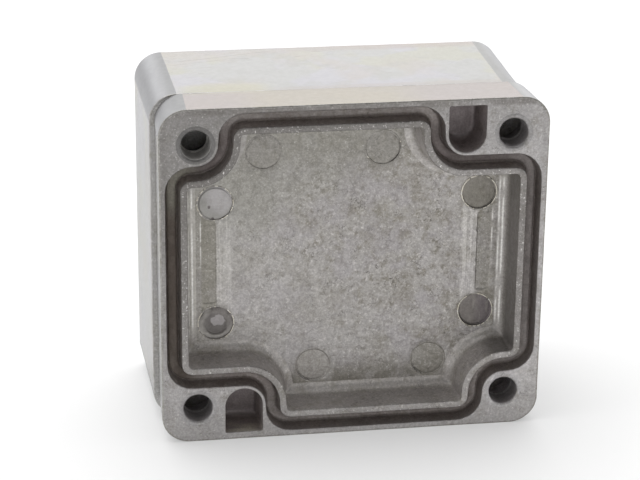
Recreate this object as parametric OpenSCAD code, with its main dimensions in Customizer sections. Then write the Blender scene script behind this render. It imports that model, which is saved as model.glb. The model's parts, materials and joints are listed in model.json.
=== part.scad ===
// Small die cast aluminium box in two castings, a shallow lid and a deeper base.
// They stand on their long sides, closed face against closed face: the lid shows its
// inside towards -Y and the base opens towards +Y.
// Each casting is modelled lying down, with its rim face at z = 0, its opening up and
// its body below. The stand modules turn it upright. Lengths are in millimetres.

/* [Box] */
// Width of both castings at the rim, along X
box_w = 64; // [60:1:90]
// Height of both castings at the rim, along Z as they stand
box_h = 58; // [54:1:80]
// Thickness of the lid
lid_t = 10; // [9:0.5:16]
// Depth of the base from its rim face to its closed face
base_d = 24; // [18:1:60]
// Radius of the four upright corners
corner_r = 4.6; // [3:0.2:6]
// Rounding of the edge round each closed face
edge_r = 0.4; // [0.2:0.1:1.5]
// How far the sides of the lid lean in by its closed face
lid_lean = 0.5; // [0.2:0.1:1]
// How far the sides of the base lean in by its closed face
base_lean = 0.6; // [0.2:0.1:1.2]
// How far the base stands to the left of the lid
stand_shift = 0.9; // [0:0.1:4]

/* [Lid screws] */
// Distance of each screw axis from the two outer sides beside it
screw_inset = 6; // [5.6:0.1:7]
// Bore of the lid for a screw
screw_bore = 4.8; // [3.4:0.1:5.2]
// Metal under a screw head, which is the length of that bore
screw_seat = 4; // [3.8:0.1:5]
// Counterbore for a screw head, from the closed face
head_bore = 7.6; // [6.4:0.1:8]
// Tapping bore in the base for a screw
tap_bore = 3.3; // [2.5:0.1:4.2]
// Depth of the tapping bore from the rim face
tap_depth = 14; // [8:0.5:15]

/* [Seal] */
// Land between the outer sides and the seal groove
outer_land = 1; // [0.8:0.1:1.6]
// Width of the seal groove at the rim face
groove_w = 2.4; // [2:0.1:3]
// Depth of the seal groove
groove_depth = 3; // [2.2:0.1:3.2]
// How far each wall of the seal groove leans in by its floor
groove_lean = 0.25; // [0.05:0.05:0.4]
// Land between a screw bore and the seal groove
boss_land = 1.25; // [0.8:0.05:1.6]
// Land between the seal groove and the cavity
inner_land = 1.15; // [0.8:0.05:1.6]
// Radius of the groove's outward bends, at its inner edge
bend_r = 1.9; // [1.2:0.1:2.4]
// Height of the tongue on the base that presses on the seal
tongue_h = 1.8; // [1:0.1:2]
// Clearance between the tongue and each wall of the groove
tongue_clear = 0.35; // [0.2:0.05:0.5]

/* [Wall screws] */
// Width of the pocket in the lid over the head of a wall screw
pocket_w = 6.2; // [5:0.1:6.4]
// Depth of that pocket
pocket_depth = 6.5; // [4:0.1:6.8]
// Land between the flat side of the pocket and the outer side
pocket_land = 1.2; // [0.8:0.1:2]
// Distance from a lid screw to the wall screw beside it
pocket_pitch = 7.7; // [7.6:0.1:9]
// Channel in the base for the head of a wall screw
channel_bore = 6.2; // [5:0.1:6.6]
// Hole for a wall screw through the floor of the base
wall_bore = 3.6; // [3:0.1:4.6]
// Metal under the head of a wall screw
wall_seat = 4; // [3:0.5:6]

/* [Cavities] */
// Depth of the cavity in the lid
lid_cavity = 6.7; // [5:0.1:6.8]
// How far the cavity wall of the lid leans in by its floor
lid_cavity_lean = 0.3; // [0.1:0.05:0.6]
// Fillet between the wall and the floor of the lid's cavity
lid_fillet = 1.7; // [0.8:0.1:2]
// Thickness of the floor of the base
base_floor = 3; // [2:0.1:4]
// How far the cavity wall of the base leans in by its floor
base_cavity_lean = 0.5; // [0.2:0.1:1]
// Fillet between the wall and the floor of the base's cavity
base_fillet = 2; // [1:0.1:2.4]

/* [Ejector marks] */
// Width of the round marks that the ejector pins leave on the floor of the lid
mark_w = 6; // [4:0.2:6.4]
// Depth of those marks
mark_depth = 0.2; // [0.1:0.05:0.4]
// Places of the marks on one half of the floor, which the other half repeats turned round
marks = [[5.7, 19.2], [-14.2, 19.2], [-22.2, 10.7], [-22.2, -10.7]];
// Distance of the scraped strip beside the side marks from the middle, at its inner edge
strip_x = 22; // [20:0.1:23]
// Width of that strip
strip_w = 2.6; // [1:0.1:3]
// Length of that strip
strip_l = 14; // [8:0.5:18]

/* [Hidden] */

screw_x = box_w / 2 - screw_inset;
screw_y = box_h / 2 - screw_inset;
wall_x = screw_x - pocket_pitch;
// Half sizes of the seal line, which is the inner edge of the groove at the rim face
seal_x = box_w / 2 - outer_land - groove_w;
seal_y = box_h / 2 - outer_land - groove_w;
// Radius of the seal line round a screw
seal_r = screw_bore / 2 + boss_land + groove_w;
// Smallest radius of an outward bend, where the line is set in by more than bend_r
least_r = 0.3;
// Steps in an outward bend, in an inward bend, in an outer corner and in a fillet
bend_steps = 5;
sweep_steps = 9;
corner_steps = 10;
fillet_steps = 4;
// Overshoot of the cutting solids
over = 0.5;

function flip_x(points) = [for (i = [len(points) - 1:-1:0]) [-points[i][0], points[i][1]]];
function turn(points) = [for (p = points) -p];
function arc(c, r, a1, a2, steps) =
    [for (i = [0:steps]) let (a = a1 + (a2 - a1) * i / steps) c + r * [cos(a), sin(a)]];

// One quarter of the seal line set out by d, from the right side to the top. It turns in
// round a centre reach to the left of the screw. The two outward bends touch the straight
// sides and the inward bend, also where the inward bend cuts off the straight between.
function quarter(d, reach) =
    let (
        b = max(bend_r + d, least_r),
        r = seal_r - d,
        c = [screw_x - reach, screw_y],
        k1x = seal_x + d - b,
        k2y = seal_y + d - b,
        in1 = max(0, c[0] - k1x),
        in2 = max(0, c[1] - k2y),
        drop = sqrt(pow(r + b, 2) - in1 * in1),
        side = sqrt(pow(r + b, 2) - in2 * in2),
        a1 = atan2(drop, in1),
        a2 = atan2(in2, side)
    )
    concat(
        arc([k1x, c[1] - drop], b, 0, a1, bend_steps),
        arc(c, r, 180 + a1, 180 + a2, sweep_steps),
        arc([c[0] - side, k2y], b, a2, 90, bend_steps)
    );

// The closed seal line set out by d. It goes round the wall screw too in two of the corners.
function seal_line(d) =
    let (half = concat(quarter(d, pocket_pitch), flip_x(quarter(d, 0))))
    concat(half, turn(half));

// The outer outline set in by lean, and then by a round edge that narrows its corners by cut
function outline(lean, cut) =
    let (
        x = box_w / 2 - lean - corner_r,
        y = box_h / 2 - lean - corner_r,
        half = concat(
            arc([x, y], corner_r - cut, 0, 90, corner_steps),
            arc([-x, y], corner_r - cut, 90, 180, corner_steps)
        )
    )
    concat(half, turn(half));

// Steps of a quarter round of radius r, from flat to upright: [how far in, how high]
function quarter_round(r) =
    [for (i = [0:fillet_steps]) let (a = 90 * i / fillet_steps) r * [1 - sin(a), 1 - cos(a)]];

// Solid through outlines that have the same number of points, lowest first. Its bottom is a
// fan about the middle, so that no long sliver of it runs beside a round mark.
module loft(outlines, heights) {
    n = len(outlines[0]);
    last = len(outlines) - 1;
    middle = (last + 1) * n;
    points = [
        for (k = [0:last]) for (p = outlines[k]) [p[0], p[1], heights[k]],
        [0, 0, heights[0]]
    ];
    sides = [
        for (k = [0:last - 1]) for (i = [0:n - 1])
            let (j = (i + 1) % n)
            each [
                [k * n + i, (k + 1) * n + i, k * n + j],
                [k * n + j, (k + 1) * n + i, (k + 1) * n + j]
            ]
    ];
    bottom = [for (i = [0:n - 1]) [i, (i + 1) % n, middle]];
    top = [[for (i = [n - 1:-1:0]) last * n + i]];
    polyhedron(points, concat(sides, bottom, top));
}

// Outside of a casting, t thick, whose sides lean in by its closed face
module casting(t, lean) {
    edge = quarter_round(edge_r);
    loft(
        [for (s = edge) outline(lean * (t - s[1]) / t, s[0]), outline(0, 0)],
        [for (s = edge) s[1] - t, 0]
    );
}

// Cavity that starts at the seal line set out by d, depth deep, with a fillet round its floor
module cavity(d, depth, lean, fillet) {
    foot = quarter_round(fillet);
    loft(
        [for (s = foot) seal_line(d - lean * (depth - s[1]) / depth - s[0]),
            seal_line(d + lean * over / depth)],
        [for (s = foot) s[1] - depth, over]
    );
}

// Band along the seal line from low to high, between the offsets d_in and d_out at z = 0.
// Each side moves away from the band's middle by rate for each unit of height.
module band(low, high, d_in, d_out, rate) {
    section = [
        [d_out + rate * low, low],
        [d_out + rate * high, high],
        [d_in - rate * high, high],
        [d_in - rate * low, low]
    ];
    n = len(seal_line(0));
    corners = len(section);
    points = [for (s = section) for (p = seal_line(s[0])) [p[0], p[1], s[1]]];
    faces = [
        for (k = [0:corners - 1]) for (i = [0:n - 1])
            let (j = (i + 1) % n, a = k * n, b = (k + 1) % corners * n)
            each [[a + i, b + i, a + j], [a + j, b + i, b + j]]
    ];
    polyhedron(points, faces);
}

// Puts its child at each of the four screws
module at_screws() {
    for (x = [-1, 1], y = [-1, 1]) translate([x * screw_x, y * screw_y]) children();
}

// Puts its child in one corner and, turned round, in the opposite one
module at_both_ends() {
    for (a = [0, 180]) rotate(a) children();
}

module screw_hole() {
    translate([0, 0, -lid_t - over]) cylinder(d = screw_bore, h = lid_t + 2 * over, $fn = 48);
    translate([0, 0, -lid_t - over])
        cylinder(d = head_bore, h = lid_t - screw_seat + over, $fn = 48);
}

// Blind pocket over the head of a wall screw: round inwards and flat by the outer side
module head_pocket() {
    translate([0, 0, -pocket_depth]) linear_extrude(pocket_depth + over) {
        circle(d = pocket_w, $fn = 48);
        translate([-pocket_w / 2, 0]) square([pocket_w, box_h / 2 - pocket_land - screw_y]);
    }
}

module floor_marks() {
    at_both_ends() {
        for (m = marks) translate([m[0], m[1], -lid_cavity - mark_depth])
            cylinder(d = mark_w, h = mark_depth + over, $fn = 48);
        translate([strip_x, -strip_l / 2, -lid_cavity - mark_depth])
            cube([strip_w, strip_l, mark_depth + over]);
    }
}

module lid_casting() {
    difference() {
        casting(lid_t, lid_lean);
        band(-groove_depth, over, 0, groove_w, groove_lean / groove_depth);
        cavity(-inner_land, lid_cavity, lid_cavity_lean, lid_fillet);
        at_screws() screw_hole();
        at_both_ends() translate([wall_x, screw_y]) head_pocket();
        floor_marks();
    }
}

// Channel for a wall screw, from the rim to its seat, and its hole through the floor
module wall_screw_hole() {
    translate([0, 0, wall_seat - base_d])
        cylinder(d = channel_bore, h = base_d - wall_seat + over, $fn = 48);
    translate([0, 0, -base_d - over]) cylinder(d = wall_bore, h = base_d, $fn = 48);
}

module base_casting() {
    difference() {
        casting(base_d, base_lean);
        mirror([1, 0, 0]) {
            cavity(0, base_d - base_floor, base_cavity_lean, base_fillet);
            at_both_ends() translate([wall_x, screw_y]) wall_screw_hole();
        }
        at_screws() translate([0, 0, -tap_depth])
            cylinder(d = tap_bore, h = tap_depth + over, $fn = 48);
    }
    mirror([1, 0, 0]) band(
        -over, tongue_h, tongue_clear, groove_w - tongue_clear, -groove_lean / groove_depth
    );
}

full_d = lid_t + base_d + tongue_h;

module lid() {
    color([0.56, 0.55, 0.53])
        translate([stand_shift / 2, -full_d / 2, box_h / 2]) rotate([90, 0, 0]) lid_casting();
}

module base() {
    color([0.66, 0.66, 0.65])
        translate([-stand_shift / 2, lid_t + base_d - full_d / 2, box_h / 2])
            rotate([90, 0, 180]) base_casting();
}

lid();
base();
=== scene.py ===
"""Studio scene of a small die cast aluminium box: a lid and a base, stood back to back.

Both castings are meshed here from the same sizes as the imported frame, with the small
things that a casting has: broken edges, drafted walls, ejector marks and flash.
Each casting is made in millimetres, lying down, with its rim face at z = 0, and is
then stood up in its place in the row.
"""

import json
import math

import bmesh
import bpy
import numpy as np
from mathutils import Matrix, Vector, noise
from mathutils.geometry import delaunay_2d_cdt


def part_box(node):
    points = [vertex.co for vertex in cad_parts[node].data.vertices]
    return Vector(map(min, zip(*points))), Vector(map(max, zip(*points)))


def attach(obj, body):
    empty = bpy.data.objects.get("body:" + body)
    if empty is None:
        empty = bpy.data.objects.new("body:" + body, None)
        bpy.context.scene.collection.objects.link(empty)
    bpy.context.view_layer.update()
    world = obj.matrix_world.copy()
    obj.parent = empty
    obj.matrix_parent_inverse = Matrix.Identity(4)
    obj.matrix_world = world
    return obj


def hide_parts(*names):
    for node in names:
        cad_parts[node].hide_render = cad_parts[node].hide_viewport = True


MM = 0.001

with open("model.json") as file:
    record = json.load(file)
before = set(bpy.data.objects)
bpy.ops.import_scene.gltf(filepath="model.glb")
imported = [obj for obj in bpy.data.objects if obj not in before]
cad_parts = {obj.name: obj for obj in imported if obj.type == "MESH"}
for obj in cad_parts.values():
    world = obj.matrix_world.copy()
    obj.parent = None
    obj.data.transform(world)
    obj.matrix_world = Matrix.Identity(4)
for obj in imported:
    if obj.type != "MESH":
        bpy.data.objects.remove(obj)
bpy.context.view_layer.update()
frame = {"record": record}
lid_low, lid_high = (Vector(p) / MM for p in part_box("lid"))
base_low, base_high = (Vector(p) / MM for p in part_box("base"))
mounts = {m["name"]: m for m in frame["record"]["mounts"]}

# ---- sizes from the frame ----------------------------------------------------------

BOX_W = lid_high.x - lid_low.x
BOX_H = lid_high.z - lid_low.z
LID_T = lid_high.y - lid_low.y
LID_X = (lid_low.x + lid_high.x) / 2
BASE_X = (base_low.x + base_high.x) / 2
MIDDLE_Z = BOX_H / 2
FACE_Y = lid_low.y
SEAM_Y = FACE_Y + LID_T
SCREW_X = mounts["lid_screws"]["dims"]["spacing_x_mm"] / 2
SCREW_Y = mounts["lid_screws"]["dims"]["spacing_y_mm"] / 2
SCREW_R = mounts["lid_screws"]["dims"]["hole_r_mm"]
TAP_R = mounts["base_screws"]["dims"]["hole_r_mm"]
WALL_R = mounts["wall_screw_high"]["dims"]["r_mm"]
WALL_SEAT = mounts["wall_screw_high"]["dims"]["length_mm"]
WALL_X = mounts["wall_screw_high"]["pos_m"][0] / MM - BASE_X
BASE_D = mounts["base_rim"]["pos_m"][1] / MM - lid_high.y
TONGUE_H = base_high.y - base_low.y - BASE_D

# ---- sizes of the castings ---------------------------------------------------------

CORNER_R = 4.6
LEAN = {"lid": 0.32, "base": 0.35}  # how far the sides lean in over their whole depth
EDGE_R = 0.15  # edge between the sides and the closed face
RIM_EDGE = 0.14  # edge between the sides and the rim
CAST_EDGE = 0.16  # every other edge

SEAT = 4.0  # depth of a lid screw's seat
HEAD_R = 3.8
TAP_DEPTH = 14.0
THREAD_PITCH = 0.7
THREAD_CREST, THREAD_ROOT = 0.12, -0.1

OUTER_LAND = 1.0
GROOVE_W = 2.4
GROOVE_DEPTH = 3.0
GROOVE_LEAN = 0.25
GROOVE_FOOT = 0.45  # rounding at the foot of the groove's walls
DRAFT = GROOVE_LEAN / GROOVE_DEPTH
BOSS_LAND = 1.25
INNER_LAND = 1.15
BEND_R = 1.9
LEAST_BEND = 0.3
TONGUE_IN = 0.35  # clearance of the tongue at each side of the groove

LID_CAVITY = 6.7
LID_CAVITY_LEAN = 0.3
LID_FILLET = 1.7
BASE_FLOOR = 3.0
BASE_CAVITY_LEAN = 0.5
BASE_FILLET = 2.0

POCKET_R = 3.1
POCKET_CORNER = 0.3
POCKET_DEPTH = 6.5
POCKET_LAND = 1.2
POCKET_FILLET = 1.0
CHANNEL_R = 3.1

MARK_R = 3.0
FLASH_SHOWS = 0.055  # flash that is lower than this gets no painted highlight
SCRAPE_X = 22.0
SCRAPE_W = 2.6
SCRAPE_L = 14.0
SCRAPE_DEPTH = 0.13

UNEVEN = 0.05  # slow hollows and swells of the walls

CORNER_STEPS = 16
BEND_STEPS = 6
BOSS_STEPS = 16
SEAL_STEPS = 12
OUTLINE_STEPS = 24
SIDE_STEPS = 9
ROUND_STEPS = 48
TAP_STEPS = 32
MARK_STEPS = 72
BOW = 3e-5  # see bowed()
CLEAR = 0.45  # share of a plate's spacing that its inner points keep off its borders

SEAL_X = BOX_W / 2 - OUTER_LAND - GROOVE_W
SEAL_Y = BOX_H / 2 - OUTER_LAND - GROOVE_W
SEAL_R = SCREW_R + BOSS_LAND + GROOVE_W
PITCH = SCREW_X - WALL_X  # from a lid screw to the wall screw beside it
BOSSES = [(-1, -1), (-1, 1), (1, -1), (1, 1)]

noise.seed_set(3)  # without a seed, noise_vector differs from run to run

# ---- outlines ----------------------------------------------------------------------


def arc(cx, cy, radius, start, end, steps):
    angles = np.radians(np.linspace(start, end, steps + 1))
    return np.column_stack([cx + radius * np.cos(angles), cy + radius * np.sin(angles)])


def between(a, b, steps):
    """Points strictly between a and b."""
    t = np.linspace(0, 1, steps + 1)[1:-1, None]
    return np.array(a) * (1 - t) + np.array(b) * t


def quarter(d, reach):
    """A quarter of the seal line set out by d, round a centre that is reach inside a screw."""
    bend = max(BEND_R + d, LEAST_BEND)
    radius = SEAL_R - d
    cx, cy = SCREW_X - reach, SCREW_Y
    in_x = max(0.0, cx - (SEAL_X + d - bend))
    in_y = max(0.0, cy - (SEAL_Y + d - bend))
    drop = math.sqrt((radius + bend) ** 2 - in_x**2)
    side = math.sqrt((radius + bend) ** 2 - in_y**2)
    first = math.degrees(math.atan2(drop, in_x))
    last = math.degrees(math.atan2(in_y, side))
    return np.vstack([
        arc(SEAL_X + d - bend, cy - drop, bend, 0, first, BEND_STEPS),
        arc(cx, cy, radius, 180 + first, 180 + last, BOSS_STEPS)[1:],
        arc(cx - side, SEAL_Y + d - bend, bend, last, 90, BEND_STEPS)[1:],
    ])


def closed(first, second, steps):
    """The loop through two quarters and the same turned round, with straights of some steps."""
    second = second[::-1] * [-1, 1]
    runs = [first, second, -first, -second]
    loop = []
    for run, after in zip(runs, runs[1:] + runs[:1]):
        loop += [run, between(run[-1], after[0], steps)]
    return np.vstack(loop)


def seal_line(d):
    """The closed line between groove and ridge, set out by d."""
    return closed(quarter(d, PITCH), quarter(d, 0), SEAL_STEPS)


def turned_seal_line(d):
    """The seal line as the base has it, so that its tongue meets the lid's groove."""
    return (seal_line(d) * [-1, 1])[::-1]


def outline(set_in, cut=0.0):
    """Outline of the box, set in, with its corners cut back as well."""
    x, y = BOX_W / 2 - set_in - CORNER_R, BOX_H / 2 - set_in - CORNER_R
    corner = arc(x, y, CORNER_R - cut, 0, 90, CORNER_STEPS)
    return closed(corner, corner, OUTLINE_STEPS)


def circle(cx, cy, radius, steps=ROUND_STEPS):
    return arc(cx, cy, radius, 0, 360, steps)[:-1]


def round_hole(cx, cy, radius, steps=ROUND_STEPS):
    """Outline of a round hole, as a function of how far it is set in."""
    def shape(inset):
        return circle(cx, cy, radius - inset, steps)
    return shape


def head_pocket(cx, cy, turn):
    """Outline of a pocket that is round inwards and square by the outer side of the lid."""
    def shape(inset):
        r = POCKET_R - inset
        top = BOX_H / 2 - POCKET_LAND - inset - abs(cy)
        c = POCKET_CORNER
        half = np.vstack([
            arc(0, 0, r, 180, 360, 28),
            between((r, 0), (r, top - c), 5),
            arc(r - c, top - c, c, 0, 90, 4),
            between((r - c, top), (c - r, top), 8),
            arc(c - r, top - c, c, 90, 180, 4),
            between((-r, top - c), (-r, 0), 5),
        ])
        return half * turn + [cx, cy]
    return shape


def inside(points, loop):
    """Which of the points lie inside the loop."""
    x, y = points[:, 0:1], points[:, 1:2]
    x1, y1 = loop[:, 0], loop[:, 1]
    x2, y2 = np.roll(x1, -1), np.roll(y1, -1)
    rise = np.where(y2 == y1, 1e-12, y2 - y1)
    crosses = ((y1 > y) != (y2 > y)) & (x < (x2 - x1) * (y - y1) / rise + x1)
    return crosses.sum(1) % 2 == 1


def bowed(points):
    """The same points with their straights bowed a little, so that no three lie in line."""
    points = np.array(points)
    return points * (1 - BOW * (points**2).sum(1, keepdims=True))


# ---- skin of a casting -------------------------------------------------------------


class Skin:
    """Points and faces of one closed casting. Each face has the name of its finish."""

    def __init__(self):
        self.points = []
        self.faces = []
        self.finishes = []

    def ring(self, loop, z):
        first = len(self.points)
        heights = np.broadcast_to(z, len(loop))
        self.points += [(p[0], p[1], h) for p, h in zip(loop, heights)]
        return np.arange(first, first + len(loop))

    def strip(self, a, b, finish):
        for i in range(len(a)):
            j = (i + 1) % len(a)
            self.faces.append((a[i], b[i], b[j], a[j]))
            self.finishes.append(finish)

    def rings(self, profile, finish):
        """Rings through profile, a list of (loop, z), joined in turn. finish may be a list."""
        made = [self.ring(loop, z) for loop, z in profile]
        for k in range(len(made) - 1):
            name = finish if isinstance(finish, str) else finish[k]
            self.strip(made[k], made[k + 1], name)
        return made

    def hole(self, shape, profile, finish):
        """Rings of shape(inset) at each (inset, z) of profile, the first of them at the face."""
        return self.rings([(shape(inset), z) for inset, z in profile], finish)

    def plate(self, border, holes, z, finish, spacing=None):
        """Flat face inside the ring border and outside the rings in holes.

        With a spacing, it has inner points. It is laid out with its straights bowed, because
        three points in line could leave a sliver that is neither inside nor outside.
        """
        loops = [border, *holes]
        ids = np.concatenate(loops)
        flat = bowed([self.points[i][:2] for i in ids])
        shapes = [bowed([self.points[i][:2] for i in loop]) for loop in loops]
        edges, first = [], 0
        for loop in loops:
            n = len(loop)
            edges += [(first + i, first + (i + 1) % n) for i in range(n)]
            first += n

        def on_plate(places):
            keep = inside(places, shapes[0])
            for shape in shapes[1:]:
                keep &= ~inside(places, shape)
            return keep

        if spacing:
            low, high = shapes[0].min(0), shapes[0].max(0)
            gx, gy = np.meshgrid(
                np.arange(low[0], high[0], spacing), np.arange(low[1], high[1], spacing)
            )
            gx[1::2] += spacing / 2
            grid = np.column_stack([gx.ravel(), gy.ravel()])
            grid = grid[on_plate(bowed(grid))]
            gap = np.min(np.linalg.norm(bowed(grid)[:, None] - flat[None], axis=2), axis=1)
            grid = grid[gap > spacing * CLEAR]
            ids = np.concatenate([ids, self.ring(grid, z)])
            flat = np.vstack([flat, bowed(grid)])
        out, _, triangles, origin, _, _ = delaunay_2d_cdt(
            [Vector(p) for p in flat], edges, [], 0, 1e-6, True
        )
        where = np.array([ids[o[0]] for o in origin])
        triangles = np.array(triangles)
        corners = np.array([tuple(p) for p in out])
        for t in triangles[on_plate(corners[triangles].mean(1))]:
            self.faces.append(tuple(where[t]))
            self.finishes.append(finish)


def rounding(inset, z, radius, start, end, steps):
    """Profile points (inset, z) on an arc round (inset, z)."""
    angles = np.radians(np.linspace(start, end, steps + 1))
    return [(inset + radius * math.cos(a), z + radius * math.sin(a)) for a in angles]


def fillet(foot, z, radius, steps=8):
    """Profile points (offset, z) from a wall down and inwards to its foot on a floor at z."""
    angles = np.radians(np.linspace(0, 90, steps + 1))
    return [(foot + radius * math.cos(a), z + radius * (1 - math.sin(a))) for a in angles]


def outside(skin, depth, lean):
    """Closed face's edge, the four sides and the rim's edge. Returns the rings at both ends."""
    turns = np.radians([0, 30, 60, 90])
    profile = []
    for a in turns:
        cut = EDGE_R * (1 - math.sin(a))
        profile.append((outline(lean + cut, cut), -depth + EDGE_R * (1 - math.cos(a))))
    for share in np.linspace(0, 1, SIDE_STEPS + 1)[1:-1]:
        z = -depth + EDGE_R + (depth - EDGE_R - RIM_EDGE) * share
        profile.append((outline(lean * -z / depth), z))
    for a in turns:
        cut = RIM_EDGE * (1 - math.cos(a))
        profile.append((outline(cut, cut), -RIM_EDGE * (1 - math.sin(a))))
    first = len(skin.faces)
    made = skin.rings(profile, ["edge"] * 3 + ["side"] * SIDE_STEPS + ["rim"] * 3)
    quarter_turn = len(made[0]) // 4
    for k in range(first, len(skin.faces)):
        if skin.finishes[k] == "side" and (k - first) % quarter_turn < CORNER_STEPS:
            skin.finishes[k] = "corner"
    return made[0], made[-1]


# ---- lid ---------------------------------------------------------------------------

MARKS = [
    # centre, step of the disc, height of its flash rim, direction of the rim, direction of
    # the gap, width of the bevel, finish
    ((5.7, 19.2), -0.06, 0.04, 200, 330, 0.12, "mark"),
    ((-14.2, 19.2), -0.06, 0.03, 20, 150, 0.16, "mark"),
    ((-22.2, 10.7), 0.22, 0.07, 155, 315, 0.16, "pale_mark"),
    ((-22.2, -10.6), 0.16, 0.07, 160, 300, 0.95, "spot_mark"),
    ((22.2, 10.6), -0.12, 0.15, 170, 290, 0.12, "dull_mark"),
    ((22.2, -10.7), -0.34, 0.12, 5, 215, 0.12, "dull_mark"),
    ((14.2, -19.2), -0.05, 0.03, 40, 200, 0.10, "mark"),
    ((-5.7, -19.2), -0.07, 0.04, 60, 220, 0.14, "mark"),
]
PALE_MARK = MARKS[2][0]
SPOT_MARK = MARKS[3][0]

SCREW_HOLE = [
    # inset and z down a lid screw's hole: a low raised ring and the rounded mouth
    (-0.8, 0), (-0.65, 0.05), (-0.45, 0.05), (-0.3, 0), (-0.22, -0.03), (-0.08, -0.1),
    # the bore, and the lip at the seat
    (0, -0.3), (0.03, -SEAT / 2), (0.05, -SEAT + 0.5), (0.22, -SEAT + 0.3), (0.24, -SEAT),
    # the wider hole for the screw's head
    (SCREW_R - HEAD_R, -SEAT), (SCREW_R - HEAD_R, -LID_T + 0.3),
    (SCREW_R - HEAD_R - 0.2, -LID_T),
]
SCREW_HOLE_FINISHES = ["ring"] * 5 + ["bore"] * 3 + ["lip"] * 2 + ["hole"] * 3


def ejector_mark(skin, centre, step, flash, rim_side, gap_side, bevel, finish):
    """Round mark in the floor of the lid: a ragged flash rim round a disc that is off the floor."""
    z = -LID_CAVITY
    angles = np.radians(np.arange(MARK_STEPS) * 360 / MARK_STEPS)
    ragged = np.array([
        noise.noise(Vector((centre[0] + 5 * math.cos(a), centre[1] + 5 * math.sin(a), 0)))
        for a in angles
    ])
    facing = np.abs(np.cos(angles - math.radians(rim_side)))
    lift = np.clip(0.1 + np.clip(facing, 0.2, 1) * 0.9 + 1.1 * ragged, 0.0, 1.4)
    opened = np.clip(np.cos(angles - math.radians(gap_side)) + 0.6 * ragged, 0, 1)
    gap = 0.02 + 0.16 * opened**1.5
    half = 0.04 + 0.3 * flash
    inner = MARK_R - 0.02 - half
    profile = [
        (MARK_R + 0.12, z),
        (MARK_R + 0.08, z - 0.02),
        (MARK_R - 0.02 + half, z + flash * lift),
        (inner, z + flash * lift * 0.9),
        (inner - 0.06, z + min(step, 0) - gap),
        (inner - 0.08 - bevel, z + step),
        (inner - 0.25 - bevel, z + step + 0.01),
    ]
    first = len(skin.faces)
    made = skin.rings(
        [(circle(*centre, radius, MARK_STEPS), height) for radius, height in profile],
        ["mark", "flash", "flash", "gap", finish, finish],
    )
    least_gap = 0.35 if flash > 0.05 else 0.7
    for k in range(first, len(skin.faces)):
        i = (k - first) % MARK_STEPS
        # the near-white flash finish is a painted highlight, kept only where the rim stands high
        if skin.finishes[k] == "flash" and flash * lift[i] < FLASH_SHOWS:
            skin.finishes[k] = "mark"
        if skin.finishes[k] == "gap" and opened[i] < least_gap:
            skin.finishes[k] = finish
    skin.plate(made[-1], [], z + step, finish, 0.7)
    return made[0]


def scraped_strip(skin, turn):
    """Shallow strip between two side marks, scraped along by what the lid was carried on."""
    x_in, x_out, half = turn * SCRAPE_X, turn * (SCRAPE_X + SCRAPE_W), SCRAPE_L / 2

    def loop(inset):
        left, right = x_in + turn * inset, x_out - turn * inset
        y = half - inset
        corners = [(left, -y), (right, -y), (right, y), (left, y)]
        return np.vstack([
            np.vstack([[a], between(a, b, steps)])
            for a, b, steps in zip(corners, corners[1:] + corners[:1], (4, 18, 4, 18))
        ])

    z = -LID_CAVITY
    made = skin.rings(
        [(loop(0.0), z), (loop(0.12), z - 0.10), (loop(0.3), z - SCRAPE_DEPTH)], "floor"
    )
    skin.plate(made[-1], [], z - SCRAPE_DEPTH, "floor", 0.7)
    return made[0]


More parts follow.
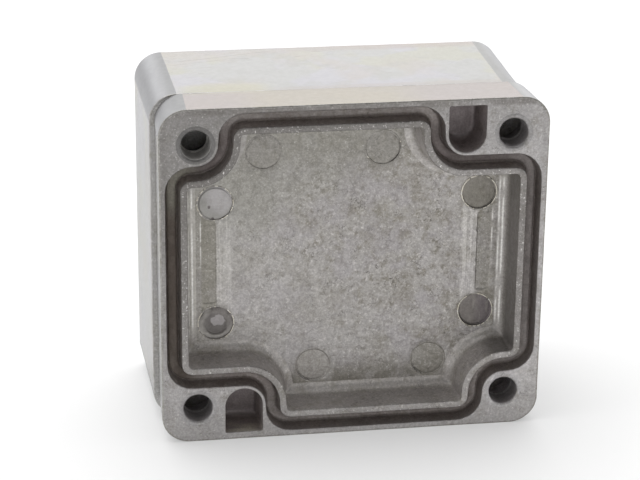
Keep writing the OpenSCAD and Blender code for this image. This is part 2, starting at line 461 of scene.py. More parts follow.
def lid_skin():
    skin = Skin()
    back, front = outside(skin, LID_T, LEAN["lid"])
    e = CAST_EDGE
    screws, heads = [], []
    for sx, sy in BOSSES:
        shape = round_hole(sx * SCREW_X, sy * SCREW_Y, SCREW_R)
        made = skin.hole(shape, SCREW_HOLE, SCREW_HOLE_FINISHES)
        screws.append(made[0])
        heads.append(made[-1])
    pockets = []
    for turn in (1, -1):
        profile = [(-e, 0), (-e * 0.4, -e * 0.2), (0, -e), (0.05, -2), (0.12, -4.4)]
        profile += rounding(1.15, POCKET_FILLET - POCKET_DEPTH, POCKET_FILLET, 180, 270, 5)
        made = skin.hole(
            head_pocket(turn * WALL_X, turn * SCREW_Y, turn), profile,
            ["land"] * 2 + ["pocket"] * 8,
        )
        skin.plate(made[-1], [], -POCKET_DEPTH, "pocket", 0.8)
        pockets.append(made[0])

    # offset from the seal line and z, from the outer land over the groove and the ridge
    # and down the wall of the cavity
    foot = GROOVE_FOOT
    profile = [
        (GROOVE_W + e, 0), (GROOVE_W + e * 0.4, -e * 0.25), (GROOVE_W, -e),
        (GROOVE_W - DRAFT * 1.5, -1.5),
        (GROOVE_W - DRAFT * (GROOVE_DEPTH - foot), foot - GROOVE_DEPTH),
        (GROOVE_W - GROOVE_LEAN - foot * 0.3, foot * 0.3 - GROOVE_DEPTH),
        (GROOVE_W - GROOVE_LEAN - foot, -GROOVE_DEPTH),
        (GROOVE_W / 2, -GROOVE_DEPTH - 0.02),
        (GROOVE_LEAN + foot, -GROOVE_DEPTH),
        (GROOVE_LEAN + foot * 0.3, foot * 0.3 - GROOVE_DEPTH),
        (DRAFT * (GROOVE_DEPTH - foot), foot - GROOVE_DEPTH),
        (DRAFT * 1.5, -1.5),
        (0, -e), (-e * 0.4, -e * 0.25), (-e, 0),
        (-INNER_LAND / 2, 0.03),
        (-INNER_LAND + e, 0), (-INNER_LAND + e * 0.4, -e * 0.25), (-INNER_LAND, -e),
        (-INNER_LAND - LID_CAVITY_LEAN * 0.35, -2),
        (-INNER_LAND - LID_CAVITY_LEAN * 0.6, -3.5),
    ]
    profile += fillet(-INNER_LAND - LID_CAVITY_LEAN - LID_FILLET, -LID_CAVITY, LID_FILLET)
    finishes = (
        ["land"] * 2 + ["wall"] * 3 + ["floor_of_groove"] * 4 + ["wall"] * 3
        + ["ridge"] * 6 + ["cavity"] * 3 + ["fillet"] * 8
    )
    made = skin.rings([(seal_line(d), z) for d, z in profile], finishes)
    skin.plate(front, [made[0], *screws, *pockets], 0, "land", 1.0)
    marks = [ejector_mark(skin, *mark) for mark in MARKS]
    marks += [scraped_strip(skin, turn) for turn in (1, -1)]
    skin.plate(made[-1], marks, -LID_CAVITY, "floor", 0.9)
    skin.plate(back, heads, -LID_T, "closed")
    return skin


# ---- base --------------------------------------------------------------------------


def base_skin():
    skin = Skin()
    back, front = outside(skin, BASE_D, LEAN["base"])
    e = CAST_EDGE
    taps, channels, exits = [], [], []
    thread = [(-0.55, 0), (-0.1, -0.45)]
    depth = 0.6
    while depth < TAP_DEPTH - 1:
        thread += [(THREAD_CREST, -depth), (THREAD_ROOT, -depth - THREAD_PITCH / 2)]
        depth += THREAD_PITCH
    end = -TAP_DEPTH + 0.6
    thread += [(0.2, end)]
    for sx, sy in BOSSES:
        shape = round_hole(sx * SCREW_X, sy * SCREW_Y, TAP_R, TAP_STEPS)
        made = skin.hole(shape, thread, "hole")
        skin.plate(made[-1], [], end, "hole")
        taps.append(made[0])
    step = CHANNEL_R - WALL_R
    seat = WALL_SEAT - BASE_D
    channel = [
        (-e, 0), (-e * 0.4, -e * 0.25), (0, -e), (0.03, -7), (0.06, -14),
        (0.1, seat), (step - 0.1, seat), (step, seat - 0.1),
        (step, 0.2 - BASE_D), (step - 0.2, -BASE_D),
    ]
    for turn in (1, -1):
        made = skin.hole(round_hole(-turn * WALL_X, turn * SCREW_Y, CHANNEL_R), channel, "hole")
        channels.append(made[0])
        exits.append(made[-1])

    # offset from the seal line and z, over the tongue and down the wall of the cavity
    depth = BASE_D - BASE_FLOOR
    outer = GROOVE_W - TONGUE_IN
    outer_top = outer - DRAFT * TONGUE_H
    inner_top = TONGUE_IN + DRAFT * TONGUE_H
    profile = [
        (outer + 0.12, 0), (outer + 0.03, 0.04), (outer, 0.15),
        (outer_top + 0.02, TONGUE_H - e),
        (outer_top - e * 0.4, TONGUE_H - e * 0.25), (outer_top - e, TONGUE_H),
        (inner_top + e, TONGUE_H), (inner_top + e * 0.4, TONGUE_H - e * 0.25),
        (inner_top - 0.02, TONGUE_H - e),
        (TONGUE_IN, 0.1), (TONGUE_IN - 0.06, 0), (0.1, 0), (0.03, -0.05), (0, -0.15),
    ]
    for z in np.linspace(0, depth - BASE_FILLET, 8)[1:-1]:
        profile.append((-BASE_CAVITY_LEAN * z / depth, -z))
    profile += fillet(-BASE_CAVITY_LEAN - BASE_FILLET, -depth, BASE_FILLET)
    finishes = (
        ["rim"] * 2 + ["wall"] + ["ridge"] * 5 + ["wall"] + ["rim"] * 4 + ["inner"] * 15
    )
    made = skin.rings([(turned_seal_line(d), z) for d, z in profile], finishes)
    skin.plate(front, [made[0], *taps, *channels], 0, "rim", 1.2)
    skin.plate(made[-1], [], -depth, "inner", 1.2)
    skin.plate(back, exits, -BASE_D, "closed")
    return skin


# ---- to Blender --------------------------------------------------------------------


def uneven(points, amount):
    """Slow hollows and swells of a casting, about amount each way along every axis."""
    out = np.array(points, float)
    for i, p in enumerate(points):
        slow = noise.noise_vector(Vector(p) * 0.13 + Vector((7, 3, 5)))
        quick = noise.noise_vector(Vector(p) * 0.55 + Vector((1, 9, 4)))
        out[i] += amount * (np.array(slow) * 0.9 + np.array(quick) * 0.5)
    return out


def piece(name, skin, place, depth, top):
    """Object of a skin, put in place by the matrix, with one material for each finish."""
    points = uneven(skin.points, UNEVEN)
    points[:, 0] = np.clip(points[:, 0], -BOX_W / 2, BOX_W / 2)
    points[:, 1] = np.clip(points[:, 1], -BOX_H / 2, BOX_H / 2)
    points[:, 2] = np.clip(points[:, 2] - UNEVEN, -depth, top)
    mesh = bpy.data.meshes.new(name)
    placed = [tuple(place @ Vector(p) * MM) for p in points]
    mesh.from_pydata(placed, [], [tuple(int(i) for i in f) for f in skin.faces])
    names = sorted(set(skin.finishes))
    for finish in names:
        mesh.materials.append(FINISHES[finish])
    for polygon, finish in zip(mesh.polygons, skin.finishes):
        polygon.material_index = names.index(finish)
        polygon.use_smooth = True
    mesh.validate()
    obj = bpy.data.objects.new(name, mesh)
    bpy.context.scene.collection.objects.link(obj)
    bm = bmesh.new()
    bm.from_mesh(mesh)
    bmesh.ops.recalc_face_normals(bm, faces=bm.faces)
    bm.to_mesh(mesh)
    bm.free()
    weighted = obj.modifiers.new("face_weight", "WEIGHTED_NORMAL")
    weighted.mode = "FACE_AREA"
    weighted.keep_sharp = True
    return obj


# ---- finishes ----------------------------------------------------------------------


class Finish:
    """A node material, in the casting's place in the row, in millimetres.

    Paints change its base colour, roughness and height before cast_metal wires them up.
    """

    def __init__(self, name):
        self.material = bpy.data.materials.new(name)
        self.material.use_nodes = True
        self.tree = self.material.node_tree
        self.shader = self.tree.nodes["Principled BSDF"]
        place = self.node("ShaderNodeTexCoord").outputs["Object"]
        scale = self.node("ShaderNodeVectorMath", operation="SCALE")
        self.tree.links.new(place, scale.inputs[0])
        scale.inputs["Scale"].default_value = 1 / MM
        self.place = scale.outputs[0]

    def node(self, kind, **settings):
        made = self.tree.nodes.new(kind)
        for key, value in settings.items():
            setattr(made, key, value)
        return made

    def put(self, socket, value):
        if isinstance(value, bpy.types.NodeSocket):
            self.tree.links.new(value, socket)
        else:
            socket.default_value = value

    def noise(self, per_mm, detail=3.0, rough=0.5, stretch=None, where=None):
        vector = where or self.place
        if stretch:
            vector = self.vector("MULTIPLY", vector, stretch)
        made = self.node("ShaderNodeTexNoise")
        self.put(made.inputs["Vector"], vector)
        made.inputs["Scale"].default_value = per_mm
        made.inputs["Detail"].default_value = detail
        made.inputs["Roughness"].default_value = rough
        return made.outputs["Fac"]

    def vector(self, operation, a, b):
        made = self.node("ShaderNodeVectorMath", operation=operation)
        self.put(made.inputs[0], a)
        self.put(made.inputs[1], b)
        return made.outputs[0]

    def math(self, operation, a, b=0.0):
        made = self.node("ShaderNodeMath", operation=operation)
        self.put(made.inputs[0], a)
        self.put(made.inputs[1], b)
        return made.outputs[0]

    def plus(self, a, b):
        return self.math("ADD", a, b)

    def minus(self, a, b):
        return self.math("SUBTRACT", a, b)

    def times(self, *masks):
        product = masks[0]
        for mask in masks[1:]:
            product = self.math("MULTIPLY", product, mask)
        return product

    def most(self, a, b):
        return self.math("MAXIMUM", a, b)

    def size(self, value):
        return self.math("ABSOLUTE", value)

    def ramp(self, value, low, high, to_low=0.0, to_high=1.0):
        """value from low to high, eased onto to_low to to_high."""
        made = self.node("ShaderNodeMapRange", interpolation_type="SMOOTHSTEP")
        for socket, v in zip(made.inputs, (value, low, high, to_low, to_high)):
            self.put(socket, v)
        return made.outputs[0]

    def near(self, value, middle, reach, soft):
        """1 where value is within reach of middle, falling to 0 over soft beyond it."""
        return self.ramp(self.size(self.minus(value, middle)), reach, reach + soft, 1.0, 0.0)

    def axis(self, name):
        made = self.node("ShaderNodeSeparateXYZ")
        self.put(made.inputs[0], self.place)
        return made.outputs[name]

    def across(self):
        """How far to the right of the lid's middle."""
        return self.minus(self.axis("X"), LID_X)

    def up(self):
        """How far above the middle."""
        return self.minus(self.axis("Z"), MIDDLE_Z)

    def depth(self):
        """How far behind the lid's rim face."""
        return self.minus(self.axis("Y"), FACE_Y)

    def slant(self):
        """Low towards the upper left, high towards the lower right."""
        return self.minus(self.axis("X"), self.up())

    def mix(self, a, b, share):
        made = self.node("ShaderNodeMix", data_type="RGBA")
        self.put(made.inputs[0], share)
        for socket, v in ((made.inputs[6], a), (made.inputs[7], b)):
            self.put(socket, v if isinstance(v, bpy.types.NodeSocket) else (*v, 1.0))
        return made.outputs[2]

    def tint(self, colour, *masks):
        """Mix the colour into the base by the product of the masks."""
        self.base = self.mix(self.base, colour, self.times(*masks))

    def bump(self, height, distance, strength):
        made = self.node("ShaderNodeBump")
        self.put(made.inputs["Height"], height)
        made.inputs["Distance"].default_value = distance * MM
        made.inputs["Strength"].default_value = strength
        return made.outputs["Normal"]


SOOT = (0.02, 0.017, 0.015)
FOLD = (0.05, 0.042, 0.035)
GLINT = (0.92, 0.90, 0.87)
OLIVE_SHARE = (0.68, 0.66, 0.58)


def cast_metal(name, colour, dark, rough, metallic=1.0, speckle=0.2, bright=0.0,
               mottle=0.6, grain=0.5, blotch=0.5, fine=1.0, paint=None):
    """As-cast aluminium: specks on blotches on slow stains, and then what paint adds.

    colour and dark are the metal and its stains. speckle, bright, mottle and blotch are the
    strengths of the dark specks, the glints, the stains and the blotches; grain and fine are
    those of the bumps.
    """
    f = Finish(name)
    f.base = colour
    f.tint(dark, f.ramp(f.noise(0.09, 5, 0.6), 0.38, 0.66), mottle)
    olive = tuple(c * k for c, k in zip(colour, OLIVE_SHARE))
    f.tint(olive, f.ramp(f.noise(0.55, 5, 0.66), 0.48, 0.66), blotch)
    light = tuple(min(1.0, c * 1.45) for c in colour)
    f.tint(light, f.ramp(f.noise(1.5, 4, 0.72), 0.53, 0.66), blotch)
    folds = f.size(f.minus(f.noise(0.8, 4, 0.6), 0.5))
    folds = f.times(
        f.ramp(folds, 0.004, 0.016, 1.0, 0.0), f.ramp(f.noise(0.35, 2), 0.50, 0.62)
    )
    f.tint(FOLD, folds, blotch)
    spread = 0.08 * min(1.0, fine)
    f.roughness = f.ramp(f.noise(1.1, 3), 0.3, 0.7, rough - spread, rough + spread)
    f.height = f.plus(
        f.times(f.noise(4.0, 2, 0.6), fine), f.times(f.noise(0.9, 3), 1.5 * fine**0.5)
    )
    if paint:
        paint(f)
    f.tint(SOOT, f.ramp(f.noise(2.9, 2, 0.6), 0.36, 0.66, 1.0, 0.0), speckle)
    f.tint(GLINT, f.ramp(f.noise(2.4, 4, 0.75), 0.58, 0.68), bright)
    f.put(f.shader.inputs["Base Color"], f.base)
    f.shader.inputs["Metallic"].default_value = metallic
    f.put(f.shader.inputs["Roughness"], f.roughness)
    f.put(f.shader.inputs["Normal"], f.bump(f.height, 0.07, grain))
    return f.material


def shade_towards_upper_left(colour, share):
    """Painted shade: mixes colour in, most by the upper left corner and not by the lower right one.
    """
    def paint(f):
        slant = f.minus(f.times(f.axis("X"), 0.85), f.times(f.up(), 1.15))
        slant = f.plus(slant, f.times(f.noise(0.15, 3), 14.0))
        f.tint(colour, f.ramp(slant, -45.0, 45.0, share, 0.0))
    return paint


def land_paint(f):
    """Painted shade by the upper left corner and along the bottom, with grime on the narrow strip
    outside the groove.
    """
    # painted shade, darker towards the upper left
    shade_towards_upper_left((0.245, 0.235, 0.225), 0.82)(f)
    top = f.ramp(f.up(), BOX_H / 2 - 1.6, BOX_H / 2 - 0.9)
    side = f.ramp(f.size(f.across()), BOX_W / 2 - 1.6, BOX_W / 2 - 0.9)
    strip = f.most(f.times(top, 0.9), f.times(side, 0.35))
    streaks = f.ramp(f.noise(0.5, 4, 0.65), 0.36, 0.6, 0.3, 1.0)
    brown, grey = (0.19, 0.175, 0.16), (0.36, 0.345, 0.335)
    f.tint(brown, strip, streaks, 0.6)
    # painted shade, darker along the bottom
    f.tint(grey, f.ramp(f.up(), -18.0, -26.0), 0.45)


def floor_paint(f):
    """Pale in the middle, brown towards the walls, with drag marks between the side marks."""
    across, up = f.across(), f.up()
    x, z = f.size(across), f.size(up)
    lilac, brown = (0.445, 0.42, 0.435), (0.27, 0.245, 0.205)
    f.tint(lilac, f.ramp(f.noise(0.16, 5, 0.62), 0.46, 0.62), 0.5)
    f.tint(brown, f.ramp(f.noise(0.2, 5, 0.65), 0.50, 0.62), 0.35)
    pale, smooth = (0.58, 0.56, 0.55), (0.385, 0.375, 0.345)
    f.tint(pale, f.ramp(f.plus(across, up), 5.0, -20.0), 0.35)
    upper_left = f.minus(up, f.times(across, 0.6))
    upper_left = f.plus(upper_left, f.times(f.noise(0.1, 3), 16.0))
    f.tint(smooth, f.ramp(upper_left, 16.0, 32.0), 0.75)

    edge = f.most(f.ramp(x, 19.5, 26.0), f.ramp(up, 10.0, 22.5))
    edge = f.most(edge, f.ramp(up, -17.5, -22.5))
    edge = f.times(edge, f.ramp(f.noise(0.3, 5, 0.65), 0.34, 0.56, 0.3, 1.0))
    dark_tone = (0.24, 0.225, 0.185)
    f.tint(dark_tone, edge, f.ramp(up, -14.0, -20.0, 0.45, 0.75))

    between_marks = f.ramp(z, 8.0, 9.2, 1.0, 0.0)
    on_right = f.ramp(across, -5.0, 5.0)
    ragged = f.noise(0.5, 3)
    wide = f.near(f.plus(x, f.times(ragged, 0.8)), 21.2, 1.1, 0.5)
    lines = f.ramp(f.noise(3.2, 2, 0.6, stretch=(1.0, 0.2, 0.025)), 0.40, 0.62)
    polish = f.times(wide, between_marks, f.plus(lines, 0.35))
    polished, olive, burr = (0.70, 0.68, 0.65), (0.28, 0.265, 0.215), (0.90, 0.88, 0.84)
    f.tint(polished, polish, f.plus(f.times(on_right, 0.14), 0.18))
    worn = f.times(f.near(x, 23.3, 1.0, 0.5), between_marks)
    f.tint(olive, worn, f.minus(0.5, f.times(on_right, 0.22)))
    line = f.times(
        f.near(x, 24.65, 0.04, 0.12), f.ramp(z, 6.5, 8.5, 1.0, 0.0),
        f.ramp(ragged, 0.36, 0.52), f.ramp(up, -2.0, 3.0),
    )
    f.tint(burr, line, 0.7)
    f.roughness = f.minus(f.roughness, f.times(polish, 0.1))


def fillet_paint(f):
    """Painted light and shade: a highlight along the left wall, which is also worn smooth there,
    thin highlight lines along both walls, and painted shade along the right wall and by the upper
    bosses.
    """
    across, up = f.across(), f.up()
    dark_tone, dull, painted_highlight = (0.22, 0.205, 0.19), (0.36, 0.345, 0.33), (0.50, 0.48, 0.44)
    # painted shade on the right wall, most on its steep part
    steep = f.ramp(f.depth(), LID_CAVITY - 1.7, LID_CAVITY - 0.2, 1.0, 0.3)
    f.tint(dark_tone, steep, f.ramp(across, 22.0, 25.5), 0.85)
    # painted shade by the upper bosses
    f.tint(dull, f.ramp(f.plus(up, f.times(across, -0.3)), 17.0, 21.0), 0.7)
    reach = f.ramp(f.size(up), 11.5, 14.0, 1.0, 0.0)
    # painted highlight along the left wall, which is also worn smooth
    f.tint(painted_highlight, f.ramp(across, -24.8, -25.6), reach, 0.7)
    # painted highlight lines along both walls
    highlight_line = (0.95, 0.94, 0.90)
    broken = f.ramp(f.noise(0.6, 3, 0.5, stretch=(1, 1, 0.4)), 0.34, 0.52)
    for place in (-26.75, -26.1, 25.75, 26.35):
        f.tint(highlight_line, f.near(across, place, 0.06, 0.14), reach, broken, 0.8)


def groove_paint(f):
    """Painted shade in the seal groove, less along its top and foot; on its left brown grime with
    olive above, deepened by painted shade; on its right more painted shade.
    """
    across, up = f.across(), f.up()
    height = f.plus(up, f.times(f.noise(0.12, 2), 4.0))
    groove_shade, brown, olive = (0.165, 0.14, 0.135), (0.105, 0.085, 0.068), (0.24, 0.23, 0.19)
    lower = f.ramp(up, -8.0, -18.0, 1.0, 0.5)
    # painted shade all along the groove
    f.tint(groove_shade, f.ramp(height, 24.5, 29.0, 0.9, 0.3), lower)
    # brown and olive grime on the left, dark enough to be painted shade as well
    left_grime_and_shade = f.mix(brown, olive, f.ramp(height, 10.0, 16.0))
    f.tint(left_grime_and_shade, f.ramp(across, -24.0, -28.0), 0.8)
    # painted shade on the right
    grey = (0.27, 0.25, 0.24)
    f.tint(grey, f.ramp(across, 24.0, 28.0), 0.5)


def bore_paint(f):
    """Painted light: the upper left bore is paler than the others."""
    f.tint((0.46, 0.45, 0.43), f.ramp(f.slant(), -20.0, -40.0, 0.0, 0.9))


def lip_paint(f):
    """Painted highlight: a bright broken line on the lip of the upper left bore."""
    broken = f.ramp(f.noise(0.5, 3), 0.36, 0.52)
    f.tint((0.92, 0.90, 0.86), f.ramp(f.slant(), -20.0, -40.0), broken, 0.9)


def mark_paint(f):
    """Painted shade towards the upper left, paler towards the lower left."""
    # painted shade, darker towards the upper left
    shade_towards_upper_left((0.25, 0.24, 0.225), 0.4)(f)
    f.tint((0.55, 0.52, 0.50), f.ramp(f.plus(f.across(), f.up()), -5.0, -25.0), 0.4)


def dull_mark_paint(f):
    """Dull disc; the lower one is darker and purple towards its right."""
    dark, purple, scratched = (0.215, 0.195, 0.19), (0.16, 0.14, 0.148), (0.30, 0.28, 0.26)
    lower = f.ramp(f.up(), 2.0, -2.0)
    f.tint(dark, lower, 0.7)
    x = f.plus(f.across(), f.times(f.noise(0.6, 3), 1.5))
    f.tint(purple, lower, f.ramp(x, 22.5, 24.5), 0.7)
    f.tint(scratched, f.ramp(f.noise(1.6, 2, 0.6, stretch=(1.0, 1.0, 0.2)), 0.55, 0.68), 0.4)


def pocket_paint(f):
    """Dull floor of a pocket, and painted light on the lower one's outer wall: lighter and olive
    near the face.
    """
    depth = f.depth()
    dull, olive = (0.235, 0.205, 0.205), (0.72, 0.68, 0.58)
    f.tint(dull, f.ramp(depth, POCKET_DEPTH - 0.7, POCKET_DEPTH - 0.1))
    # painted light on the lower pocket's outer wall, which faces up
    outer_wall = POCKET_LAND - BOX_H / 2
    lower = f.ramp(f.up(), outer_wall + 0.9, outer_wall + 0.3)
    shallow = f.ramp(depth, 0.4, POCKET_DEPTH - 0.8, 1.0, 0.15)
    f.tint(olive, f.times(lower, shallow), f.ramp(f.noise(0.3, 2), 0.3, 0.6))


def ridge_paint(f):
    """Painted shade towards the upper left, and darker along the right side."""
    # painted shade, darker towards the upper left
    shade_towards_upper_left((0.19, 0.18, 0.17), 0.9)(f)
    f.tint((0.22, 0.205, 0.195), f.ramp(f.across(), 25.5, 27.6), 0.6)


def wall_paint(f):
    """Painted shade on the right wall of the cavity."""
    f.tint((0.20, 0.185, 0.175), f.ramp(f.across(), 22.0, 25.5), 0.85)


def round_mask(f, x, z, reach, soft, wobble):
    """1 within reach of a place on the lid's floor, with a wobbly edge."""
    dx, dz = f.minus(f.across(), x), f.minus(f.up(), z)
    away = f.math("SQRT", f.plus(f.times(dx, dx), f.times(dz, dz)))
    away = f.plus(away, f.times(f.minus(f.noise(0.7, 3), 0.5), wobble))
    return f.ramp(away, reach, reach + soft, 1.0, 0.0)


def pale_mark_paint(f):
    """Smooth pale disc, greener away from its upper right, with two pits."""
    x, z = PALE_MARK
    green, dark = (0.29, 0.285, 0.265), (0.14, 0.12, 0.12)
    f.tint(green, f.minus(1.0, round_mask(f, x + 0.8, z + 0.7, 1.6, 1.4, 2.0)), 0.7)
    pits = f.most(
        round_mask(f, x - 1.05, z - 0.55, 0.16, 0.22, 0.6),
        round_mask(f, x - 0.46, z - 2.6, 0.10, 0.2, 0.6),
    )
    f.tint(dark, pits, 0.8)
    f.height = f.minus(f.height, f.times(pits, 2.0))


def spot_mark_paint(f):
    """Bevelled dull disc with a small painted highlight spot, and paler by its lower left."""
    x, z = SPOT_MARK
    pale, dark, painted_highlight = (0.33, 0.315, 0.295), (0.14, 0.13, 0.125), (0.36, 0.34, 0.34)
    f.tint(pale, f.minus(1.0, round_mask(f, x + 0.7, z + 0.8, 2.0, 0.8, 0.8)), 0.8)
    f.tint(dark, round_mask(f, x - 0.1, z - 0.1, 1.7, 0.5, 0.8), 0.7)
    # painted highlight spot on the disc
    f.tint(painted_highlight, round_mask(f, x + 0.45, z + 0.55, 0.95, 0.25, 1.8), 0.9)


CLOUDS = [
    # noise per millimetre, its level where the cloud starts, colour, share
    (0.075, 0.50, (0.262, 0.256, 0.203), 0.65),
    (0.085, 0.50, (0.264, 0.257, 0.284), 0.65),
    (0.065, 0.52, (0.262, 0.238, 0.216), 0.55),
    (0.22, 0.54, (0.222, 0.221, 0.208), 0.35),
]
SCRATCHES = [
    # place along the slant, left end, right end, share
    (-16.6, -27.0, -11.0, 0.30),
    (-14.9, -28.0, -17.0, 0.22),
]
SEAM_DIRT = (0.12, 0.11, 0.10)
SCRATCH_DIRT = (0.10, 0.09, 0.08)


def side_paint(f):
    """Faint oily stains: yellow, lavender and peach clouds, a dark seam and a few scratches."""
    x, y, z = f.axis("X"), f.axis("Y"), f.axis("Z")
    on_top = f.ramp(z, BOX_H - 2.0, BOX_H - 1.2)
    warp = f.times(f.noise(0.16, 2), 7.0)
    for per_mm, low, colour, share in CLOUDS:
        away = f.vector("ADD", f.place, (share * 90, per_mm * 700, 7))
        f.tint(colour, f.ramp(f.noise(per_mm, 3, 0.5, where=away), low, low + 0.09), share)

    peach, gold, yellow = (0.217, 0.184, 0.170), (0.227, 0.199, 0.151), (0.262, 0.252, 0.178)
    lid_band = f.ramp(y, SEAM_Y + 0.2, SEAM_Y - 0.2)
    f.tint(f.mix(peach, gold, f.near(x, -3.0, 9.0, 9.0)), lid_band, on_top, 0.85)
    patch = f.times(f.near(x, -19.5, 5.0, 4.0), f.near(y, SEAM_Y + 1.6, 1.0, 2.6), on_top)
    f.tint(yellow, patch, 0.6)

    tan, rose = (0.240, 0.210, 0.186), (0.235, 0.192, 0.168)
    behind = f.near(f.plus(y, f.times(warp, 0.15)), SEAM_Y + 1.0, 0.6, 1.0)
    f.tint(tan, behind, f.ramp(x, -16.0, -6.0), 0.4)
    far_y = SEAM_Y + BASE_D
    back = f.ramp(f.minus(y, f.times(warp, 0.3)), far_y - 5.0, far_y - 2.6)
    f.tint(rose, f.times(back, f.ramp(x, -12.0, 6.0, 0.2, 1.0), on_top), 0.6)

    slanted = f.minus(f.times(x, 0.27), y)
    for place, left, right, share in SCRATCHES:
        scratch = f.times(
            f.near(slanted, place, 0.05, 0.12), f.ramp(x, left, left + 2.0),
            f.ramp(x, right, right + 3.0, 1.0, 0.0), on_top,
        )
        f.tint(SCRATCH_DIRT, scratch, share)
    nick, pit = (0.16, 0.145, 0.13), (0.15, 0.14, 0.13)
    f.tint(nick, f.ramp(f.noise(1.0, 3, 0.6, stretch=(0.25, 0.9, 0.9)), 0.65, 0.71), 0.4)
    f.tint(pit, f.ramp(f.noise(2.2, 2, 0.6), 0.68, 0.74), 0.3)
    f.tint(SEAM_DIRT, f.near(y, SEAM_Y, 0.05, 0.12), 0.5)


def corner_paint(f):
    """Long corners of the box: dull at the upper left, paler at the upper right."""
    x, z = f.axis("X"), f.axis("Z")
    bend = BOX_W / 2 - CORNER_R
    dull, plain, pale = (0.205, 0.205, 0.207), (0.262, 0.260, 0.256), (0.42, 0.42, 0.43)
    away = f.most(f.ramp(x, -5.0, 5.0), f.ramp(z, MIDDLE_Z + 5.0, MIDDLE_Z - 5.0))
    f.tint(dull, f.times(f.ramp(x, -bend - 3.2, -bend - 0.6), f.minus(1.0, away)))
    f.tint(plain, away)
    top = f.ramp(z, BOX_H - CORNER_R, BOX_H - CORNER_R + 1.5)
    f.tint(pale, f.times(f.ramp(x, bend, bend + 2.0), top), 0.9)
    f.tint(SCRATCH_DIRT, f.near(f.axis("Y"), SEAM_Y, 0.08, 0.15), 0.6)


FINISHES = {
    "land": cast_metal(
        "land", (0.57, 0.55, 0.55), (0.50, 0.48, 0.47), 0.45, metallic=0.9, bright=0.4,
        paint=land_paint,
    ),
    "ring": cast_metal(
        "ring", (0.50, 0.485, 0.485), (0.44, 0.425, 0.42), 0.38, metallic=0.9, bright=0.1,
        # painted shade, darker towards the upper left
        paint=shade_towards_upper_left((0.165, 0.16, 0.155), 0.95),
    ),
    "ridge": cast_metal(
        "ridge", (0.45, 0.43, 0.42), (0.33, 0.31, 0.295), 0.42, metallic=0.9, bright=0.9,
        paint=ridge_paint,
    ),
    "cavity": cast_metal(
        "cavity", (0.54, 0.51, 0.495), (0.44, 0.41, 0.40), 0.42, metallic=0.6,
        paint=wall_paint,
    ),
    "wall": cast_metal("wall", (0.44, 0.405, 0.39), (0.31, 0.27, 0.26), 0.42, metallic=0.75),
    "floor_of_groove": cast_metal(
        "groove", (0.42, 0.39, 0.37), (0.30, 0.26, 0.24), 0.45, metallic=0.75,
        paint=groove_paint,
    ),
    "fillet": cast_metal(
        "fillet", (0.55, 0.525, 0.505), (0.45, 0.42, 0.395), 0.42, metallic=0.6,
        paint=fillet_paint,
    ),
    "floor": cast_metal(
        "floor", (0.47, 0.45, 0.435), (0.37, 0.35, 0.315), 0.48, metallic=0.9, bright=0.35,
        blotch=0.75, paint=floor_paint,
    ),
    "mark": cast_metal(
        "mark", (0.365, 0.35, 0.325), (0.30, 0.28, 0.24), 0.42, metallic=0.9, bright=0.1,
        paint=mark_paint,
    ),
    "pale_mark": cast_metal(
        "pale_mark", (0.40, 0.385, 0.385), (0.36, 0.345, 0.34), 0.38, metallic=0.9,
        bright=0.05, speckle=0.06, blotch=0.2, paint=pale_mark_paint,
    ),
    "spot_mark": cast_metal(
        "spot_mark", (0.24, 0.225, 0.215), (0.20, 0.185, 0.175), 0.40, metallic=0.9,
        bright=0.05, speckle=0.1, blotch=0.3, paint=spot_mark_paint,
    ),
    "dull_mark": cast_metal(
        "dull_mark", (0.245, 0.23, 0.205), (0.19, 0.18, 0.15), 0.42, metallic=0.9,
        bright=0.1, speckle=0.1, blotch=0.3, paint=dull_mark_paint,
    ),
    # raised flash rims, painted near white as a highlight where they stand high
    "flash": cast_metal(
        "flash", (1.0, 0.95, 0.83), (0.62, 0.57, 0.48), 0.30, metallic=0.3, blotch=0.7,
    ),
    "gap": cast_metal("gap", (0.13, 0.12, 0.11), (0.08, 0.07, 0.065), 0.6, metallic=0.3),
    "bore": cast_metal(
        "bore", (0.35, 0.33, 0.335), (0.29, 0.27, 0.27), 0.5, metallic=0.3, grain=0.2,
        paint=bore_paint,
    ),
    "lip": cast_metal(
        "lip", (0.52, 0.50, 0.50), (0.42, 0.40, 0.40), 0.4, metallic=0.3, paint=lip_paint,
    ),
    "hole": cast_metal(
        "hole", (0.85, 0.81, 0.83), (0.72, 0.68, 0.70), 0.5, metallic=0.4,
        # painted shade, darker towards the upper left
        paint=shade_towards_upper_left((0.14, 0.135, 0.13), 0.95),
    ),
    "pocket": cast_metal(
        "pocket", (0.46, 0.41, 0.405), (0.36, 0.32, 0.31), 0.42, metallic=0.6,
        paint=pocket_paint,
    ),
    "side": cast_metal(
        "side", (0.256, 0.254, 0.248), (0.244, 0.242, 0.236), 0.25, grain=0.02, fine=0.2,
        speckle=0.0, blotch=0.0, paint=side_paint,
    ),
    "corner": cast_metal(
        "corner", (0.32, 0.32, 0.33), (0.30, 0.30, 0.31), 0.42, grain=0.06, fine=0.3,
        speckle=0.0, blotch=0.05, paint=corner_paint,
    ),
    "edge": cast_metal(
        "edge", (0.50, 0.49, 0.48), (0.42, 0.40, 0.38), 0.35, metallic=0.7, grain=0.1,
        fine=0.2, speckle=0.1,
    ),
    "rim": cast_metal("rim", (0.38, 0.37, 0.35), (0.30, 0.28, 0.26), 0.40),
    "closed": cast_metal("closed", (0.62, 0.61, 0.60), (0.54, 0.52, 0.50), 0.5, metallic=0.4),
    "inner": cast_metal(
        "inner", (0.38, 0.36, 0.335), (0.29, 0.265, 0.23), 0.45, metallic=0.9,
    ),
}

# ---- pieces ------------------------------------------------------------------------

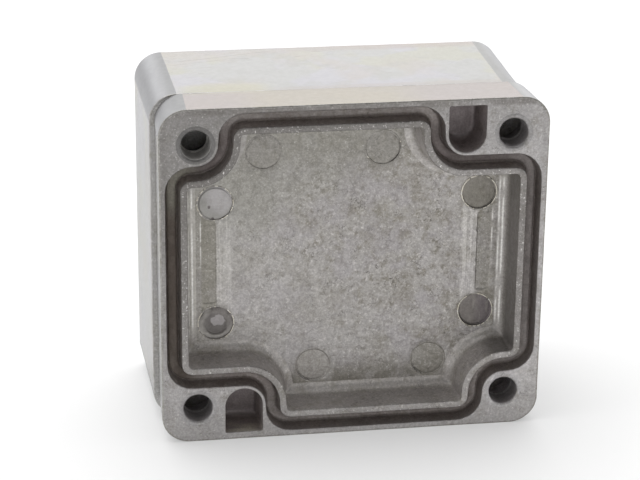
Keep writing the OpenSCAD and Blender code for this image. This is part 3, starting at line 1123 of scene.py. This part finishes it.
upright = Matrix.Rotation(math.radians(90), 4, "X")
turned_round = Matrix.Rotation(math.radians(180), 4, "Z")
lid_place = Matrix.Translation((LID_X, FACE_Y, MIDDLE_Z)) @ upright
base_place = Matrix.Translation((BASE_X, SEAM_Y + BASE_D, MIDDLE_Z)) @ turned_round @ upright
lid = piece("lid_shell", lid_skin(), lid_place, LID_T, 0.0)
base = piece("base_shell", base_skin(), base_place, BASE_D, TONGUE_H)
for obj, node in ((lid, "lid"), (base, "base")):
    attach(obj, "root")
    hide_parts(node)

# ---- floor -------------------------------------------------------------------------

FLOOR_HALF = 3
PAPER = (0.6, 0.6, 0.6, 1)
WHITE = (1, 1, 1, 1)
PAPER_GLOW = 0.3  # keeps the box's shadow on the paper faint

floor_mesh = bpy.data.meshes.new("floor")
floor_mesh.from_pydata(
    [(x * FLOOR_HALF, y * FLOOR_HALF, 0) for x, y in ((-1, -1), (1, -1), (1, 1), (-1, 1))],
    [], [(0, 1, 2, 3)],
)
floor = bpy.data.objects.new("floor", floor_mesh)
bpy.context.scene.collection.objects.link(floor)
paper = bpy.data.materials.new("paper")
paper.use_nodes = True
paper_shader = paper.node_tree.nodes["Principled BSDF"]
paper_shader.inputs["Base Color"].default_value = PAPER
paper_shader.inputs["Roughness"].default_value = 0.9
paper_shader.inputs["Emission Color"].default_value = WHITE
paper_shader.inputs["Emission Strength"].default_value = PAPER_GLOW
floor_mesh.materials.append(paper)

# ---- light -------------------------------------------------------------------------

world = bpy.data.worlds.new("studio")
bpy.context.scene.world = world
world.use_nodes = True
sky = world.node_tree
split = sky.nodes.new("ShaderNodeSeparateXYZ")
sky.links.new(sky.nodes.new("ShaderNodeTexCoord").outputs["Generated"], split.inputs[0])


def sky_ramp(value, low, high, to_low, to_high):
    """Strength of the sky, eased from to_low to to_high as value goes from low to high."""
    made = sky.nodes.new("ShaderNodeMapRange")
    made.interpolation_type = "SMOOTHSTEP"
    sky.links.new(value, made.inputs["Value"])
    settings = {"From Min": low, "From Max": high, "To Min": to_low, "To Max": to_high}
    for socket, v in settings.items():
        if isinstance(v, bpy.types.NodeSocket):
            sky.links.new(v, made.inputs[socket])
        else:
            made.inputs[socket].default_value = v
    return made.outputs[0]


overhead = sky_ramp(split.outputs["Z"], 0.0, 0.28, 0.9, 1.25)
front = sky_ramp(split.outputs["Z"], 0.02, 0.30, 1.0, 0.30)
strength = sky_ramp(split.outputs["Y"], -0.45, 0.15, front, overhead)
sky.links.new(strength, sky.nodes["Background"].inputs["Strength"])
sky.nodes["Background"].inputs["Color"].default_value = WHITE
bpy.context.scene.view_settings.view_transform = "Standard"

LIGHTS = [
    # name, place, width, height (metres), power (watts)
    ("top", (-0.15, 0.15, 0.95), 0.9, 0.7, 4),
    ("back", (0.0, 0.9, 0.55), 1.2, 0.7, 2),
    ("left", (-0.9, -0.1, 0.45), 0.6, 0.6, 0.8),
]
for name, place, width, height, power in LIGHTS:
    data = bpy.data.lights.new(name, "AREA")
    data.shape = "RECTANGLE"
    data.size, data.size_y = width, height
    data.energy = power
    obj = bpy.data.objects.new(name, data)
    obj.location = place
    aim = Vector((0, 0, MIDDLE_Z * MM)) - Vector(place)
    obj.rotation_euler = aim.to_track_quat("-Z", "Y").to_euler()
    bpy.context.scene.collection.objects.link(obj)

# ---- camera ------------------------------------------------------------------------

AIM = Vector((-2.37, 0.0, 28.11)) * MM
AZIMUTH, ELEVATION, ROLL = (math.radians(a) for a in (9.48, 20.68, 0.63))
DISTANCE = 0.3757
LENS = 122.96

camera_data = bpy.data.cameras.new("camera")
camera_data.lens = LENS
camera = bpy.data.objects.new("camera", camera_data)
look = Vector((
    math.sin(AZIMUTH) * math.cos(ELEVATION),
    math.cos(AZIMUTH) * math.cos(ELEVATION),
    -math.sin(ELEVATION),
))
camera.location = AIM - look * DISTANCE
camera.rotation_mode = "QUATERNION"
roll = Matrix.Rotation(ROLL, 4, "Z").to_quaternion()
camera.rotation_quaternion = look.to_track_quat("-Z", "Y") @ roll
bpy.context.scene.collection.objects.link(camera)
bpy.context.scene.camera = camera
